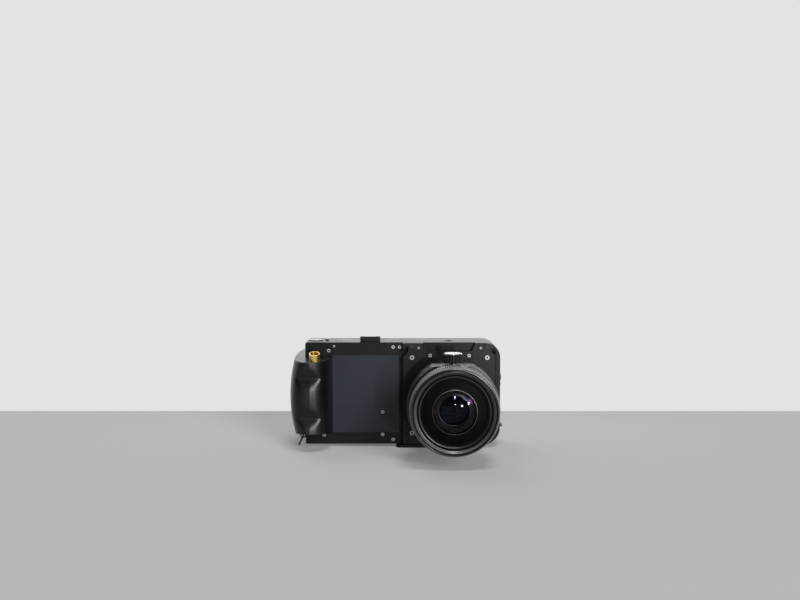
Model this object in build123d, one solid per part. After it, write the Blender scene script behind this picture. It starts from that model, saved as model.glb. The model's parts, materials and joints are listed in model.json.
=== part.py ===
from build123d import *
import math
import os

# Medium format roll film camera with a shift lens and a hand grip.
# Frame: +X to the right as seen from in front, the lens points along -Y, +Z up.
# The origin is the mouth of the tripod socket, straight below the lens axis.

# Clearances
running_gap = 0.05
seat_gap = 0.15
slide_gap = 0.3

# Body shell
axis_height = 57.0
base_thickness = 3.0
body_left = 155.2
body_right = 55.0
body_above_axis = 56.4
body_front = 23.0
door_seat = 17.0
door_thickness = 4.0
corner_radius = 17.0
end_radius = 2.0
door_left = 57.2

# Front plate of the lens side
plate_left = 51.0
plate_right = 50.0
plate_thickness = 7.0
plate_corner = 12.0
plate_edge_radius = 1.8
notch_top_half = 28.0
notch_foot_half = 23.5
notch_depth = 9.0
board_half_width = 24.5
board_half_height = 45.5
board_disc_radius = 41.0
board_thickness = 3.0
strap_slot_length = 12.0
strap_slot_width = 5.3
strap_slot_depth = 10.0
strap_slot_up = 47.6
strap_slot_out_left = 47.8
strap_slot_out_right = 46.4
light_tunnel_radius = 30.0

# Film path
gate_width = 41.5
gate_height = 56.0
gate_frame_width = 44.6
gate_margin = 5.0
gate_frame_depth = 3.6
film_plane = 9.5
rail_height = 0.4
rail_width = 2.5
spool_offset = 38.5
spool_back = -1.0
chamber_width = 28.0
chamber_depth = 15.0
chamber_margin = 0.5
spool_end_gap = 1.5
spool_flange_radius = 12.4
spool_core_radius = 5.5
spool_flange = 1.2
pin_radius = 2.4
pin_reach = 2.6
roller_offset = 25.2
roller_back = 6.6
roller_radius = 2.5
roller_end_gap = 2.5
journal_radius = 1.0
journal_length = 3.5
motor_radius = 8.0
motor_length = 14.0
shaft_radius = 1.5
fork_radius = 5.0
fork_height = 1.1
fork_key = 1.6

# Rear door
knuckle_radius = 2.8
knuckle_back = 1.0
hinge_pin_radius = 1.1
hinge_end_margin = 14.0
knuckle_length = 18.0
pressure_width = 43.0
pressure_end_gap = 1.5
pressure_thickness = 2.5
pressure_lift = 0.3
guide_radius = 1.4
tongue_width = 8.0
tongue_thickness = 1.6
tongue_reach = 6.0
release_height = 74.0
release_back = -9.5
release_head_radius = 4.25
release_proud = 2.0
release_stem_radius = 2.0

# Electronics bay and its cover
bay_left = 122.0
bay_right = 62.0
bay_bottom = 20.0
bay_top = 96.0
bay_depth = 34.0
panel_left = 126.0
panel_right = 54.0
panel_bottom = 15.6
panel_top = 99.7
panel_thickness = 2.0
panel_proud = 0.8
battery_width = 27.0
battery_height = 70.0
battery_depth = 22.0
board_card_width = 26.0
board_card_height = 68.0
board_card_thickness = 1.6
standoff_length = 12.0

# Base plate and tripod bushes
base_left = 57.4
base_right = 32.0
base_front = 29.5
base_back = 20.0
quarter_radius = 3.175
quarter_depth = 8.0
three_eighths_radius = 4.7625
three_eighths_depth = 9.0
three_eighths_offset = 26.0
bush_wall = 2.6

# Top fittings
shoe_centre = 85.5
shoe_front = -17.0
shoe_width = 21.4
shoe_length = 18.0
shoe_height = 5.6
shoe_rail_height = 4.3
shoe_wall = 1.5
shoe_slot_width = 18.7
shoe_slot_height = 2.1
shoe_mouth_width = 12.6
level_width = 10.6
level_back = -6.0
level_rim = 1.2
level_sink = 4.0
tick_width = 0.6
tick_depth = 0.2
dial_centre = 145.5
dial_back = -3.0
dial_radius = 8.5
dial_height = 0.9
dial_stem_radius = 2.5
dial_stem_length = 6.0
switch_centre = 133.2
switch_back = 0.0
switch_width = 3.4
switch_tongue_width = 2.0
switch_length = 6.0
switch_height = 1.5
switch_travel = 3.0

# Grip
grip_bottom = 15.8
grip_top = 101.3
grip_spare = 5.5
grip_top_slope = 5.5
grip_bottom_slope = 7.0
grip_reach = 34.0
grip_overhang = 15.2
grip_taper = 5.9
grip_back = 18.5
grip_sections = 27
finger_depth = 4.0
finger_width = 6.2
upper_finger = 75.0
lower_finger = 34.5
collar_centre = 142.6
collar_front = 49.0
collar_lean = 17.0
collar_radius = 5.65
collar_height = 8.6
collar_sink = 2.0
collar_wall = 1.0
button_recess = 2.4

# Straps
lug_height = 11.0
lug_back = -16.0
lug_post_radius = 2.2
eye_reach = 3.6
eye_radius = 2.6
lug_wire = 1.44
ring_wire = 1.0
ring_width = 13.0
ring_crown = 5.0
ring_drop = 9.4
ring_bend = 1.2
ring_lean = 25.0
right_lug_height = 22.0
right_lug_thickness = 2.5
right_lug_reach = 3.2
right_lug_length = 12.0
right_lug_front = -17.0
nub_drop = 7.5
nub_radius = 1.4

# Lens, distances forward of the front plate
cone_length = 49.5
cone_radius = 35.0
cone_wall = 2.6
cone_flange = 3.0
cone_flange_radius = 39.5
cone_collar_step = 4.0
cone_collar_length = 5.0
cone_ridge_step = 1.4
cone_ridge_start = 18.0
cone_ridge_end = 24.0
shift_length = 18.9
shift_radius = 46.4
shift_flat = 41.3
carriage_flange = 2.8
tongue_half_width = 28.0
tongue_half_height = 23.5
carriage_tongue = 9.0
shift_travel = 8.0
bearing_radius = 38.0
bearing_wall = 2.0
bearing_length = 23.0
aperture_radius = 42.4
aperture_length = 9.5
focus_radius = 44.4
focus_length = 15.8
focus_grooves = 80
focus_groove_depth = 0.7
ring_gap = 0.3
cell_wall = 2.2
cell_length = 16.0
front_radius = 43.07
front_length = 3.0
filter_radius = 38.5
filter_depth = 2.4
cone_mouth_radius = 36.1

# Shift control
knob_radius = 10.0
knob_height = 8.2
knob_lift = 2.3
knob_flutes = 18
knob_flute_radius = 1.1
cap_height = 1.1
cap_radius = 9.0
cap_scallops = 12
cap_scallop_radius = 1.3
spindle_radius = 3.75
knob_setback = 8.5

# Glass and shutter
front_glass_sag = 4.3
front_glass_edge = 3.0
front_glass_place = 3.5
front_glass_hollow = 4.0
inner_glass_radius = 21.5
inner_glass_edge = 3.0
inner_glass_sag = 2.0
inner_mount_place = 6.5
inner_mount_step = 5.6
inner_mount_length = 9.0
mount_wall = 2.0
retaining_place = 0.5
retaining_width = 2.2
retaining_length = 1.9
rear_glass_radius = 19.0
rear_glass_length = 11.0
rear_mount_wall = 2.0
rear_mount_length = 13.0
rear_bore_gap = 1.5
shutter_radius = 33.0
shutter_length = 9.0
stop_radius = 13.0
blade_count = 6
blade_outer = 21.0
blade_inner = 13.6
blade_pivot = 24.0
blade_thickness = 0.25
blade_pitch = 0.45
blade_span = 118.0
pivot_radius = 1.0

# Screws
plate_screw_radius = 2.4
plate_screw_out = 40.3
plate_screw_up = 40.8
upper_screw_radius = 2.1
upper_screw_out = 40.7
upper_screw_down = 3.4
small_screw_radius = 1.2
small_screw_out = 33.2
small_screw_down = 5.3
board_screw_out = 20.8
board_screw_up = 43.0
body_screw_radius = 1.8
stud_out = 40.8
stud_up = 8.3
stud_width = 3.0
stud_bar_drop = 3.1
stud_bar_height = 0.8
screw_proud = 0.5
socket_share = 0.52
socket_depth = 1.2
screw_depth = 4.0

# Places worked out from the sizes above
front_face = -body_front
plate_face = front_face - plate_thickness
body_back = door_seat + door_thickness
body_top = axis_height + body_above_axis
body_height = body_top - base_thickness
gate_frame_height = gate_height + 2 * gate_margin
chamber_height = gate_frame_height + 2 * chamber_margin
spool_length = chamber_height - 2 * spool_end_gap
roller_length = chamber_height - 2 * roller_end_gap
pressure_height = chamber_height - 2 * pressure_end_gap
knob_forward = cone_length + knob_setback
grip_right = panel_left
grip_side = body_left + grip_overhang
chamber_floor = axis_height - chamber_height / 2
chamber_roof = axis_height + chamber_height / 2


def forward(distance):
    return plate_face - distance


def block(x0, x1, y0, y1, z0, z1):
    return Pos((x0 + x1) / 2, (y0 + y1) / 2, (z0 + z1) / 2) * Box(x1 - x0, y1 - y0, z1 - z0)


def rod_z(x, y, radius, z0, z1):
    return Pos(x, y, (z0 + z1) / 2) * Cylinder(radius, z1 - z0)


def rod_y(x, z, radius, y0, y1):
    return Pos(x, (y0 + y1) / 2, z) * Rot(90, 0, 0) * Cylinder(radius, abs(y1 - y0))


def rod_x(y, z, radius, x0, x1):
    return Pos((x0 + x1) / 2, y, z) * Rot(0, 90, 0) * Cylinder(radius, abs(x1 - x0))


def tube_y(z, outer, inner, y0, y1):
    return rod_y(0, z, outer, y0, y1) - rod_y(0, z, inner, y0 - 1, y1 + 1)


def front_profile(left, right, bottom, top, corner, left_corner):
    # A rounded outline in the XZ plane, its large corners on the right.
    points = [(-left, bottom), (right, bottom), (right, top), (-left, top)]
    face = make_face(Polyline(*points, close=True))
    face = fillet(face.vertices().filter_by(lambda v: v.X > 0), corner)
    return fillet(face.vertices().group_by(Axis.X)[0], left_corner)


def front_slab(left, right, bottom, top, corner, left_corner, y0, y1):
    face = front_profile(left, right, bottom, top, corner, left_corner)
    slab = extrude(face, y1 - y0)
    return Pos(0, y1, 0) * Rot(90, 0, 0) * slab


def screw_head(x, z, radius, face_y, angle, depth=screw_depth):
    # A low head with a hexagonal socket, its shank sunk in the plate behind it.
    head = rod_y(x, z, radius, face_y - screw_proud, face_y + depth)
    socket = extrude(RegularPolygon(radius * socket_share, 6), 2 * socket_depth)
    return head - Pos(x, face_y - screw_proud + socket_depth, z) * Rot(90, 0, 0) * Rot(0, 0, angle) * socket


def screw_hole(x, z, radius, face_y, depth=screw_depth):
    return rod_y(x, z, radius, face_y - plate_thickness, face_y + depth)


# Places of the screws, as (x, z, turn of the socket)
plate_screws = [
    (side * plate_screw_out, axis_height + level * plate_screw_up, turn)
    for side, level, turn in ((-1, 1, 40), (1, 1, 90), (-1, -1, 25), (1, -1, 70))
]
upper_screws = [(side * upper_screw_out, body_top - upper_screw_down, 30 * side) for side in (-1, 1)]
small_screws = [(side * small_screw_out, body_top - small_screw_down, 15 * side) for side in (-1, 1)]
board_screws = [(side * board_screw_out, axis_height + level * board_screw_up, 20)
                for side in (-1, 1) for level in (-1, 1)]
body_screws = [
    (-body_left + 25.3, body_top - 8.9, 30),
    (-plate_left - 9.5, body_top - 5.0, 80),
    (-plate_left - 2.4, body_top - 5.0, 35),
    (-plate_left - 20.8, base_thickness + 10.2, 55),
    (-plate_left - 9.5, base_thickness + 4.9, 20),
    (-body_left + 20.0, base_thickness + 9.8, 70),
]
body_pins = [(-body_left + 31.1, body_top - 4.2, 10)]
panel_screw = (-panel_right - 17.8, panel_bottom + 22.3, 45)


def strap_slot(side):
    # The leaf shaped strap slot in each upper corner of the front plate.
    leaf = Ellipse(strap_slot_length / 2, strap_slot_width / 2)
    width_share = 1.0 if side < 0 else 0.6
    leaf = extrude(scale(leaf, by=(width_share, width_share, 1)), plate_thickness + strap_slot_depth)
    x = -strap_slot_out_left if side < 0 else strap_slot_out_right
    place = Pos(x, front_face + strap_slot_depth - plate_thickness + 0.5, axis_height + strap_slot_up)
    return place * Rot(90, 0, 0) * Rot(0, 0, -58 * side) * leaf


def hinge_stack(odd, grow):
    # Hinge knuckles, alternating between the body and the door.
    x, y = -door_left, body_back + knuckle_back
    bottom = base_thickness + hinge_end_margin
    count = int((body_height - 2 * hinge_end_margin) // knuckle_length)
    pieces = []
    for number in range(count):
        if (number % 2 == 1) == odd:
            start = bottom + number * knuckle_length - grow
            pieces.append(rod_z(x, y, knuckle_radius + grow, start, start + knuckle_length - slide_gap + 2 * grow))
    return pieces, bottom, bottom + count * knuckle_length - slide_gap


def chamber(side):
    x = side * spool_offset
    return block(x - chamber_width / 2, x + chamber_width / 2, -chamber_depth, body_back,
                 chamber_floor, chamber_roof)


def main_housing():
    shell = front_slab(body_left, body_right, base_thickness, body_top, corner_radius, end_radius,
                       front_face, body_back)
    shell -= block(-door_left, body_right + 1, door_seat, body_back + 1, 0, body_top + 1)
    for side in (-1, 1):
        shell -= chamber(side)
        roller_hole = rod_z(side * roller_offset, roller_back, journal_radius + running_gap,
                            axis_height - roller_length / 2 - journal_length - 1,
                            axis_height + roller_length / 2 + journal_length + 1)
        shell -= roller_hole
    frame_front = film_plane - rail_height - gate_frame_depth
    # The film runs from chamber to chamber in a shallow trough that also seats the gate.
    shell -= block(-spool_offset, spool_offset, frame_front, body_back, chamber_floor, chamber_roof)
    for side in (-1, 1):
        shell -= rod_z(side * roller_offset, roller_back, roller_radius + slide_gap, chamber_floor, chamber_roof)
    # The light shaft is as tall as the film chambers; the gate stands on its two sides.
    shell -= block(-gate_width / 2, gate_width / 2, front_face - 1, frame_front + 1, chamber_floor, chamber_roof)
    shell -= rod_z(-spool_offset, spool_back, motor_radius + running_gap, chamber_roof - 1,
                   chamber_roof + motor_length)
    for x, low, high in ((-spool_offset, chamber_floor - 5, chamber_floor + 1),
                         (spool_offset, chamber_floor - 5, chamber_floor + 1),
                         (spool_offset, chamber_roof - 1, chamber_roof + 5)):
        shell -= rod_z(x, spool_back, pin_radius, low, high)
    shell -= block(-bay_left, -bay_right, front_face - 1, front_face + bay_depth, bay_bottom, bay_top)
    shell -= block(-panel_left - seat_gap, -panel_right + seat_gap, front_face - 1,
                   front_face + panel_thickness - panel_proud, panel_bottom - seat_gap, panel_top + seat_gap)
    for places, radius in ((body_screws, body_screw_radius), (body_pins, small_screw_radius)):
        for x, z, turn in places:
            shell -= screw_hole(x, z, radius, front_face)
    x, z, turn = panel_screw
    shell -= rod_y(x, z, body_screw_radius * 0.6, front_face, front_face + 1)
    shell -= strap_slot(-1)
    shell -= strap_slot(1)
    pieces, low, high = hinge_stack(True, slide_gap)
    for piece in pieces:
        shell -= piece
    pieces, low, high = hinge_stack(False, 0)
    for piece in pieces:
        shell += piece
    shell -= rod_z(-door_left, body_back + knuckle_back, hinge_pin_radius + running_gap, low - 1, high + 1)
    shell -= rod_x(release_back, release_height, release_stem_radius + running_gap,
                   body_right - 8, body_right + 1)
    shell -= rod_x(release_back, release_height, release_head_radius + running_gap,
                   body_right - 1.8, body_right + 1)
    for start, end in ((14, 18), (21, 27)):
        for side in (-1, 1):
            shell -= block(min(side * start, side * end), max(side * start, side * end), level_back - tick_width / 2,
                           level_back + tick_width / 2, body_top - tick_depth, body_top + 1)
    shell -= rod_z(-dial_centre, dial_back, dial_stem_radius + running_gap, body_top - dial_stem_length - 0.3,
                   body_top + 1)
    tongue_half = switch_tongue_width / 2 + running_gap
    shell -= block(-switch_centre - tongue_half, -switch_centre + tongue_half,
                   switch_back - switch_length / 2 - slide_gap,
                   switch_back + switch_length / 2 + switch_travel + slide_gap, body_top - 2.2, body_top + 1)
    shell -= rod_z(0, level_back, level_width / 2, body_top - level_sink, body_top + 1)
    for x, radius, depth in ((0, quarter_radius, quarter_depth), (-three_eighths_offset, three_eighths_radius,
                                                                  three_eighths_depth)):
        shell -= rod_z(x, 0, radius + bush_wall, base_thickness - 1, depth + bush_wall)
    return shell


def lens_plate():
    plate = front_slab(plate_left, plate_right, base_thickness, body_top, plate_corner, end_radius,
                       plate_face, front_face)
    left_edge = plate.edges().filter_by(Axis.Z).group_by(Axis.X)[0].sort_by(Axis.Y)[0]
    plate = fillet(left_edge, plate_edge_radius)
    foot, top = body_top - notch_depth, body_top + 1
    slope = (notch_top_half - notch_foot_half) / notch_depth
    reach = notch_top_half + slope
    notch = make_face(Polyline((-reach, top), (-notch_foot_half, foot), (notch_foot_half, foot),
                               (reach, top), close=True))
    plate -= Pos(0, front_face + 1, 0) * Rot(90, 0, 0) * extrude(notch, plate_thickness + 2)
    plate -= lens_board_shape(seat_gap, plate_face - 1, plate_face + board_thickness)
    plate -= rod_y(0, axis_height, light_tunnel_radius, plate_face - 1, front_face + 1)
    plate -= strap_slot(-1)
    plate -= strap_slot(1)
    for group, radius in ((plate_screws, plate_screw_radius), (upper_screws, upper_screw_radius),
                          (small_screws, small_screw_radius)):
        for x, z, turn in group:
            plate -= screw_hole(x, z, radius, plate_face)
    for x, z, turn in board_screws:
        plate -= screw_hole(x, z, body_screw_radius, plate_face, board_thickness + 2)
    return plate - stud_pockets()


def lens_board_shape(grow, y0, y1):
    half, high = board_half_width + grow, board_half_height + grow
    shape = block(-half, half, y0, y1, axis_height - high, axis_height + high)
    return shape + rod_y(0, axis_height, board_disc_radius + grow, y0, y1)


def lens_board():
    board = lens_board_shape(0, plate_face, plate_face + board_thickness)
    board -= rod_y(0, axis_height, light_tunnel_radius, plate_face - 1, front_face)
    for x, z, turn in board_screws:
        board -= screw_hole(x, z, body_screw_radius, plate_face)
    return board - stud_pockets()


def stud_block(grow, front, tall, drop):
    half = stud_width / 2 + grow
    height, rise = axis_height + stud_up - drop, tall / 2 + grow
    return block(-stud_out - half, -stud_out + half, front, plate_face + 2.0, height - rise, height + rise)


def stud_pockets():
    front = plate_face - 1
    return [stud_block(running_gap, front, stud_width, 0),
            stud_block(running_gap, front, stud_bar_height, stud_bar_drop)]


def index_stud():
    # A square index stud and the thin bar below it, both let into the front plate.
    stud = stud_block(0, plate_face - screw_proud, stud_width, 0)
    bar = stud_block(0, plate_face - screw_proud / 2, stud_bar_height, stud_bar_drop)
    return Compound([chamfer(stud.edges().group_by(Axis.Y)[0], 0.3), bar])


def screw_group(places, radius, face_y, depth=screw_depth):
    return Compound([screw_head(x, z, radius, face_y, turn, depth) for x, z, turn in places])


def one_node(*groups):
    # Small fittings of the same steel share a node and stay separate solids in it.
    return Compound([solid for group in groups for solid in group.solids()])


def front_panel():
    face_y = front_face - panel_proud
    panel = block(-panel_left, -panel_right, face_y, face_y + panel_thickness, panel_bottom, panel_top)
    panel = fillet(panel.edges().filter_by(Axis.Y), 1.0)
    x, z, turn = panel_screw
    return panel - screw_hole(x, z, body_screw_radius, face_y, panel_thickness)


def base_plate():
    plate = block(-base_left, base_right, -base_front, base_back, 0, base_thickness)
    plate = fillet(plate.edges().filter_by(Axis.Z), 5.0)
    plate -= rod_z(0, 0, quarter_radius + bush_wall, -1, base_thickness + 1)
    return plate - rod_z(-three_eighths_offset, 0, three_eighths_radius + bush_wall, -1, base_thickness + 1)


def tripod_bush(x, radius, depth):
    bush = rod_z(x, 0, radius + bush_wall, 0, depth + bush_wall)
    return bush - rod_z(x, 0, radius, -1, depth)


def accessory_shoe():
    y0, y1 = shoe_front, shoe_front + shoe_length
    x0, x1 = -shoe_centre - shoe_width / 2, -shoe_centre + shoe_width / 2
    shoe = block(x0, x1, y0, y1, body_top, body_top + shoe_height)
    floor = body_top + shoe_wall
    shoe -= block(-shoe_centre - shoe_slot_width / 2, -shoe_centre + shoe_slot_width / 2, y0 + shoe_wall, y1 + 1,
                  floor, floor + shoe_slot_height)
    shoe -= block(-shoe_centre - shoe_mouth_width / 2, -shoe_centre + shoe_mouth_width / 2, y0 + shoe_wall,
                  y1 + 1, floor, body_top + shoe_height + 1)
    shoe -= block(x0 - 1, x1 + 1, y0 + shoe_wall, y1 + 1, body_top + shoe_rail_height, body_top + shoe_height + 1)
    return shoe


def level_bezel():
    bezel = rod_z(0, level_back, level_width / 2, body_top - level_sink, body_top + 0.3)
    return bezel - rod_z(0, level_back, level_width / 2 - level_rim, body_top - level_sink + 1, body_top + 1)


def level_vial():
    vial = rod_z(0, level_back, level_width / 2 - level_rim - running_gap, body_top - level_sink + 1,
                 body_top - 0.2)
    return fillet(vial.edges().group_by(Axis.Z)[-1], 0.8)


def film_gate():
    back = film_plane - rail_height
    front = back - gate_frame_depth
    low, high = axis_height - gate_frame_height / 2, axis_height + gate_frame_height / 2
    half = gate_frame_width / 2
    gate = block(-half, half, front, back, low, high)
    for z0 in (low + 1.0, high - 1.0 - rail_width):
        gate += block(-half, half, back, film_plane, z0, z0 + rail_width)
    return gate - block(-gate_width / 2, gate_width / 2, front - 1, film_plane + 1,
                        axis_height - gate_height / 2, axis_height + gate_height / 2)


def film_roller(side):
    x = side * roller_offset
    low, high = axis_height - roller_length / 2, axis_height + roller_length / 2
    body = rod_z(x, roller_back, roller_radius, low, high)
    return body + rod_z(x, roller_back, journal_radius, low - journal_length, high + journal_length)


def take_up_spool():
    low, high = axis_height - spool_length / 2, axis_height + spool_length / 2
    x = -spool_offset
    spool = rod_z(x, spool_back, spool_core_radius, low, high)
    spool += rod_z(x, spool_back, spool_flange_radius, low, low + spool_flange)
    spool += rod_z(x, spool_back, spool_flange_radius, high - spool_flange, high)
    spool -= rod_z(x, spool_back, pin_radius + running_gap, low - 1, low + pin_reach + 1)
    return spool - block(x - fork_radius, x + fork_radius, spool_back - fork_key / 2, spool_back + fork_key / 2,
                         high - 2.0, high + 1)


def drive_fork():
    high = axis_height + spool_length / 2
    x = -spool_offset
    fork = rod_z(x, spool_back, fork_radius, high, high + fork_height)
    fork += block(x - 4.0, x + 4.0, spool_back - fork_key / 2 + running_gap, spool_back + fork_key / 2 - running_gap,
                  high - 1.8, high + 0.5)
    return fork + rod_z(x, spool_back, shaft_radius, high, chamber_roof + motor_length - 3)


def film_motor():
    motor = rod_z(-spool_offset, spool_back, motor_radius, chamber_roof, chamber_roof + motor_length)
    return motor - rod_z(-spool_offset, spool_back, shaft_radius + running_gap, chamber_roof - 1,
                         chamber_roof + motor_length - 2)


def spool_pins():
    take_up_low = axis_height - spool_length / 2
    pins = [rod_z(-spool_offset, spool_back, pin_radius, chamber_floor - 5, take_up_low + pin_reach),
            rod_z(spool_offset, spool_back, pin_radius, chamber_floor - 5, chamber_floor + pin_reach),
            rod_z(spool_offset, spool_back, pin_radius, chamber_roof - pin_reach, chamber_roof + 5)]
    return Compound(pins)


def guide_places():
    return [(x, axis_height + z) for x in (-15.0, 15.0) for z in (-25.0, 25.0)]


def rear_door():
    door = front_slab(body_left, body_right, base_thickness, body_top, corner_radius, end_radius,
                      door_seat, body_back)
    door -= block(-body_left - 1, -door_left + slide_gap, door_seat - 1, body_back + 1, 0, body_top + 1)
    for x, z in guide_places():
        door += rod_y(x, z, guide_radius, film_plane + pressure_lift + pressure_thickness + 0.1, door_seat + 0.5)
    inner_wall = spool_offset + chamber_width / 2
    door += block(inner_wall - 2.2, inner_wall - 2.2 + tongue_thickness, door_seat - tongue_reach,
                  door_seat + 0.5, release_height - tongue_width / 2, release_height + tongue_width / 2)
    pieces, low, high = hinge_stack(False, slide_gap)
    for piece in pieces:
        door -= piece
    pieces, low, high = hinge_stack(True, 0)
    for piece in pieces:
        door += piece
    return door - rod_z(-door_left, body_back + knuckle_back, hinge_pin_radius + running_gap, low - 1, high + 1)


def hinge_pin():
    pieces, low, high = hinge_stack(True, 0)
    return rod_z(-door_left, body_back + knuckle_back, hinge_pin_radius, low, high)


def pressure_plate():
    front = film_plane + pressure_lift
    plate = block(-pressure_width / 2, pressure_width / 2, front, front + pressure_thickness,
                  axis_height - pressure_height / 2, axis_height + pressure_height / 2)
    plate = chamfer(plate.edges().filter_by(Axis.Z).group_by(Axis.Y)[0], 0.8)
    for x, z in guide_places():
        plate -= rod_y(x, z, guide_radius + 0.2, front + 0.5, front + pressure_thickness + 1)
    return plate


def door_button():
    head = rod_x(release_back, release_height, release_head_radius, body_right, body_right + release_proud)
    head = fillet(head.edges().group_by(Axis.X)[-1], 1.2)
    return head + rod_x(release_back, release_height, release_stem_radius, body_right - 1.1, body_right + 0.5)


def battery_pack():
    back = front_face + bay_depth
    pack = block(-bay_left + 1, -bay_left + 1 + battery_width, back - battery_depth, back,
                 bay_bottom, bay_bottom + battery_height)
    return fillet(pack.edges().filter_by(Axis.Z), 4.0)


def circuit_board():
    back = front_face + bay_depth
    x0, z0 = -bay_right - 2 - board_card_width, bay_bottom + 4
    x1, z1 = x0 + board_card_width, z0 + board_card_height
    card_back = back - standoff_length
    card = block(x0, x1, card_back - board_card_thickness, card_back, z0, z1)
    for x in (x0 + 3, x1 - 3):
        for z in (z0 + 3, z1 - 3):
            card += rod_y(x, z, 2.0, card_back - 0.2, back)
    for z, tall in ((z0 + 18, 14), (z0 + 42, 10)):
        card += block(x0 + 6, x0 + 18, card_back - board_card_thickness - 2, card_back - board_card_thickness,
                      z, z + tall)
    return card


def speed_dial():
    dial = rod_z(-dial_centre, dial_back, dial_radius, body_top + 0.2, body_top + dial_height)
    dial = chamfer(dial.edges().group_by(Axis.Z)[-1], 0.4)
    return dial + rod_z(-dial_centre, dial_back, dial_stem_radius, body_top - dial_stem_length, body_top + 0.5)


def power_switch():
    half = switch_length / 2
    slider = block(-switch_centre - switch_width / 2, -switch_centre + switch_width / 2, switch_back - half,
                   switch_back + half, body_top + 0.1, body_top + switch_height)
    return slider + block(-switch_centre - switch_tongue_width / 2, -switch_centre + switch_tongue_width / 2,
                          switch_back - half + slide_gap, switch_back + half - slide_gap, body_top - 2.0,
                          body_top + 0.5)


def finger_wave(height):
    # How deep the finger hollows are at this height, from 0 to 1.
    return sum(math.exp(-((height - middle) / finger_width) ** 2) for middle in (upper_finger, lower_finger))


def grip_outline(height):
    # Plan outline of the moulded grip at one height: slanted inner face, broad nose and palm side.
    share = (height - grip_bottom) / (grip_top - grip_bottom)
    wave = finger_wave(height)
    reach = grip_reach - finger_depth * wave
    side = grip_side - grip_taper * (2 * share - 1) ** 2
    palm = (-side + 11.0, front_face - grip_reach * 0.97)
    round_nose = Vector(-0.93, 0.37)
    fingers = [
        (-grip_right, front_face),
        (-grip_right - 3.0, front_face - reach * 0.32),
        (-grip_right - 7.0 - 1.2 * wave, front_face - reach * 0.66),
        (-grip_right - 12.0 - 1.6 * wave, front_face - reach * 0.93),
        (-grip_right - 21.0, front_face - reach),
        palm,
    ]
    hand_side = [
        palm,
        (-side + 3.5, front_face - grip_reach * 0.72),
        (-side, front_face - grip_reach * 0.25),
        (-side + 1.0, front_face + grip_back * 0.9),
        (-(side + body_left) / 2 - 1.0, grip_back / 2),
        (-body_left, grip_back),
    ]
    path = [
        Spline(*fingers, tangents=(Vector(-0.2, -1), round_nose)),
        Spline(*hand_side, tangents=(round_nose, Vector(0.75, 0.66))),
        Polyline(hand_side[-1], (-body_left, front_face), fingers[0]),
    ]
    return Pos(0, 0, height) * make_face(path)


def grip():
    low, high = grip_bottom - grip_spare, grip_top + grip_spare
    sections = [grip_outline(low + (high - low) * number / (grip_sections - 1)) for number in range(grip_sections)]
    body = loft(sections)
    # Both ends are cut on a slant: the grip grows slimmer towards the front.
    above = Pos(-body_left, front_face, grip_top_height(front_face)) * Rot(grip_top_slope, 0, 0)
    below = Pos(-body_left, front_face, grip_bottom) * Rot(-grip_bottom_slope, 0, 0)
    body -= above * Pos(0, 0, 25) * Box(80, 150, 50)
    body -= below * Pos(0, 0, -25) * Box(80, 150, 50)
    body -= collar_place() * rod_z(0, 0, collar_radius + running_gap, -collar_sink, collar_height * 2)
    return body - collar_place() * rod_z(0, 0, collar_radius - collar_wall + slide_gap, -collar_sink - 5.0, 0)


def grip_top_height(y):
    return grip_top + y * math.tan(math.radians(grip_top_slope))


def collar_place():
    y = -collar_front
    return Pos(-collar_centre, y, grip_top_height(y)) * Rot(collar_lean, 0, 0)


def release_collar():
    collar = rod_z(0, 0, collar_radius, -collar_sink, collar_height)
    return collar_place() * (collar - rod_z(0, 0, collar_radius - collar_wall, -collar_sink - 1, collar_height + 1))


def release_button():
    button = rod_z(0, 0, collar_radius - collar_wall - running_gap, -collar_sink - 2.0, collar_height - button_recess)
    button = fillet(button.edges().group_by(Axis.Z)[-1], 2.2)
    return collar_place() * button


def lug_centre():
    return -body_left - eye_reach


def strap_lug():
    # A wire eye on the left end of the body.
    post = rod_x(lug_back, lug_height, lug_post_radius, lug_centre() + eye_radius - 0.4, -body_left)
    eye = Pos(lug_centre(), lug_back, lug_height) * Rot(90, 0, 0) * Torus(eye_radius, lug_wire / 2)
    return post + eye


def strap_ring():
    # A triangular wire ring that hangs from the lug and leans out a little.
    half, crown, low = ring_width / 2, ring_crown / 2, -ring_drop
    path = FilletPolyline((0, crown, 0), (0, half, low), (0, -half, low), (0, -crown, 0),
                          radius=ring_bend, close=True)
    section = Plane(origin=path @ 0, z_dir=path % 0) * Circle(ring_wire)
    hang = lug_height - eye_radius + lug_wire / 2 + ring_wire + seat_gap
    return Pos(lug_centre(), lug_back, hang) * Rot(0, ring_lean, 0) * sweep(section, path=path)


def right_lug():
    half = right_lug_thickness / 2
    lug = block(body_right, body_right + right_lug_reach, right_lug_front, right_lug_front + right_lug_length,
                right_lug_height - half, right_lug_height + half)
    return Compound([lug, rod_x(release_back, release_height - nub_drop, nub_radius, body_right, body_right + release_proud)])


def lens_cone():
    flange = tube_y(axis_height, cone_flange_radius, cone_radius - cone_wall, forward(cone_flange), plate_face)
    barrel = tube_y(axis_height, cone_radius, cone_radius - cone_wall, forward(cone_length), plate_face)
    collar = tube_y(axis_height, cone_radius + cone_collar_step, cone_radius - cone_wall, forward(cone_length),
                    forward(cone_length - cone_collar_length))
    ridge = tube_y(axis_height, cone_radius + cone_ridge_step, cone_radius - cone_wall, forward(cone_ridge_end),
                   forward(cone_ridge_start))
    return flange + barrel + collar + ridge


def shift_block(y0, y1, lift=0.0):
    block_shape = rod_y(0, axis_height + lift, shift_radius, y0, y1)
    return block_shape - block(-shift_radius - 1, shift_radius + 1, y0 - 1, y1 + 1, axis_height + shift_flat + lift,
                               axis_height + lift + shift_radius + 1)


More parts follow.
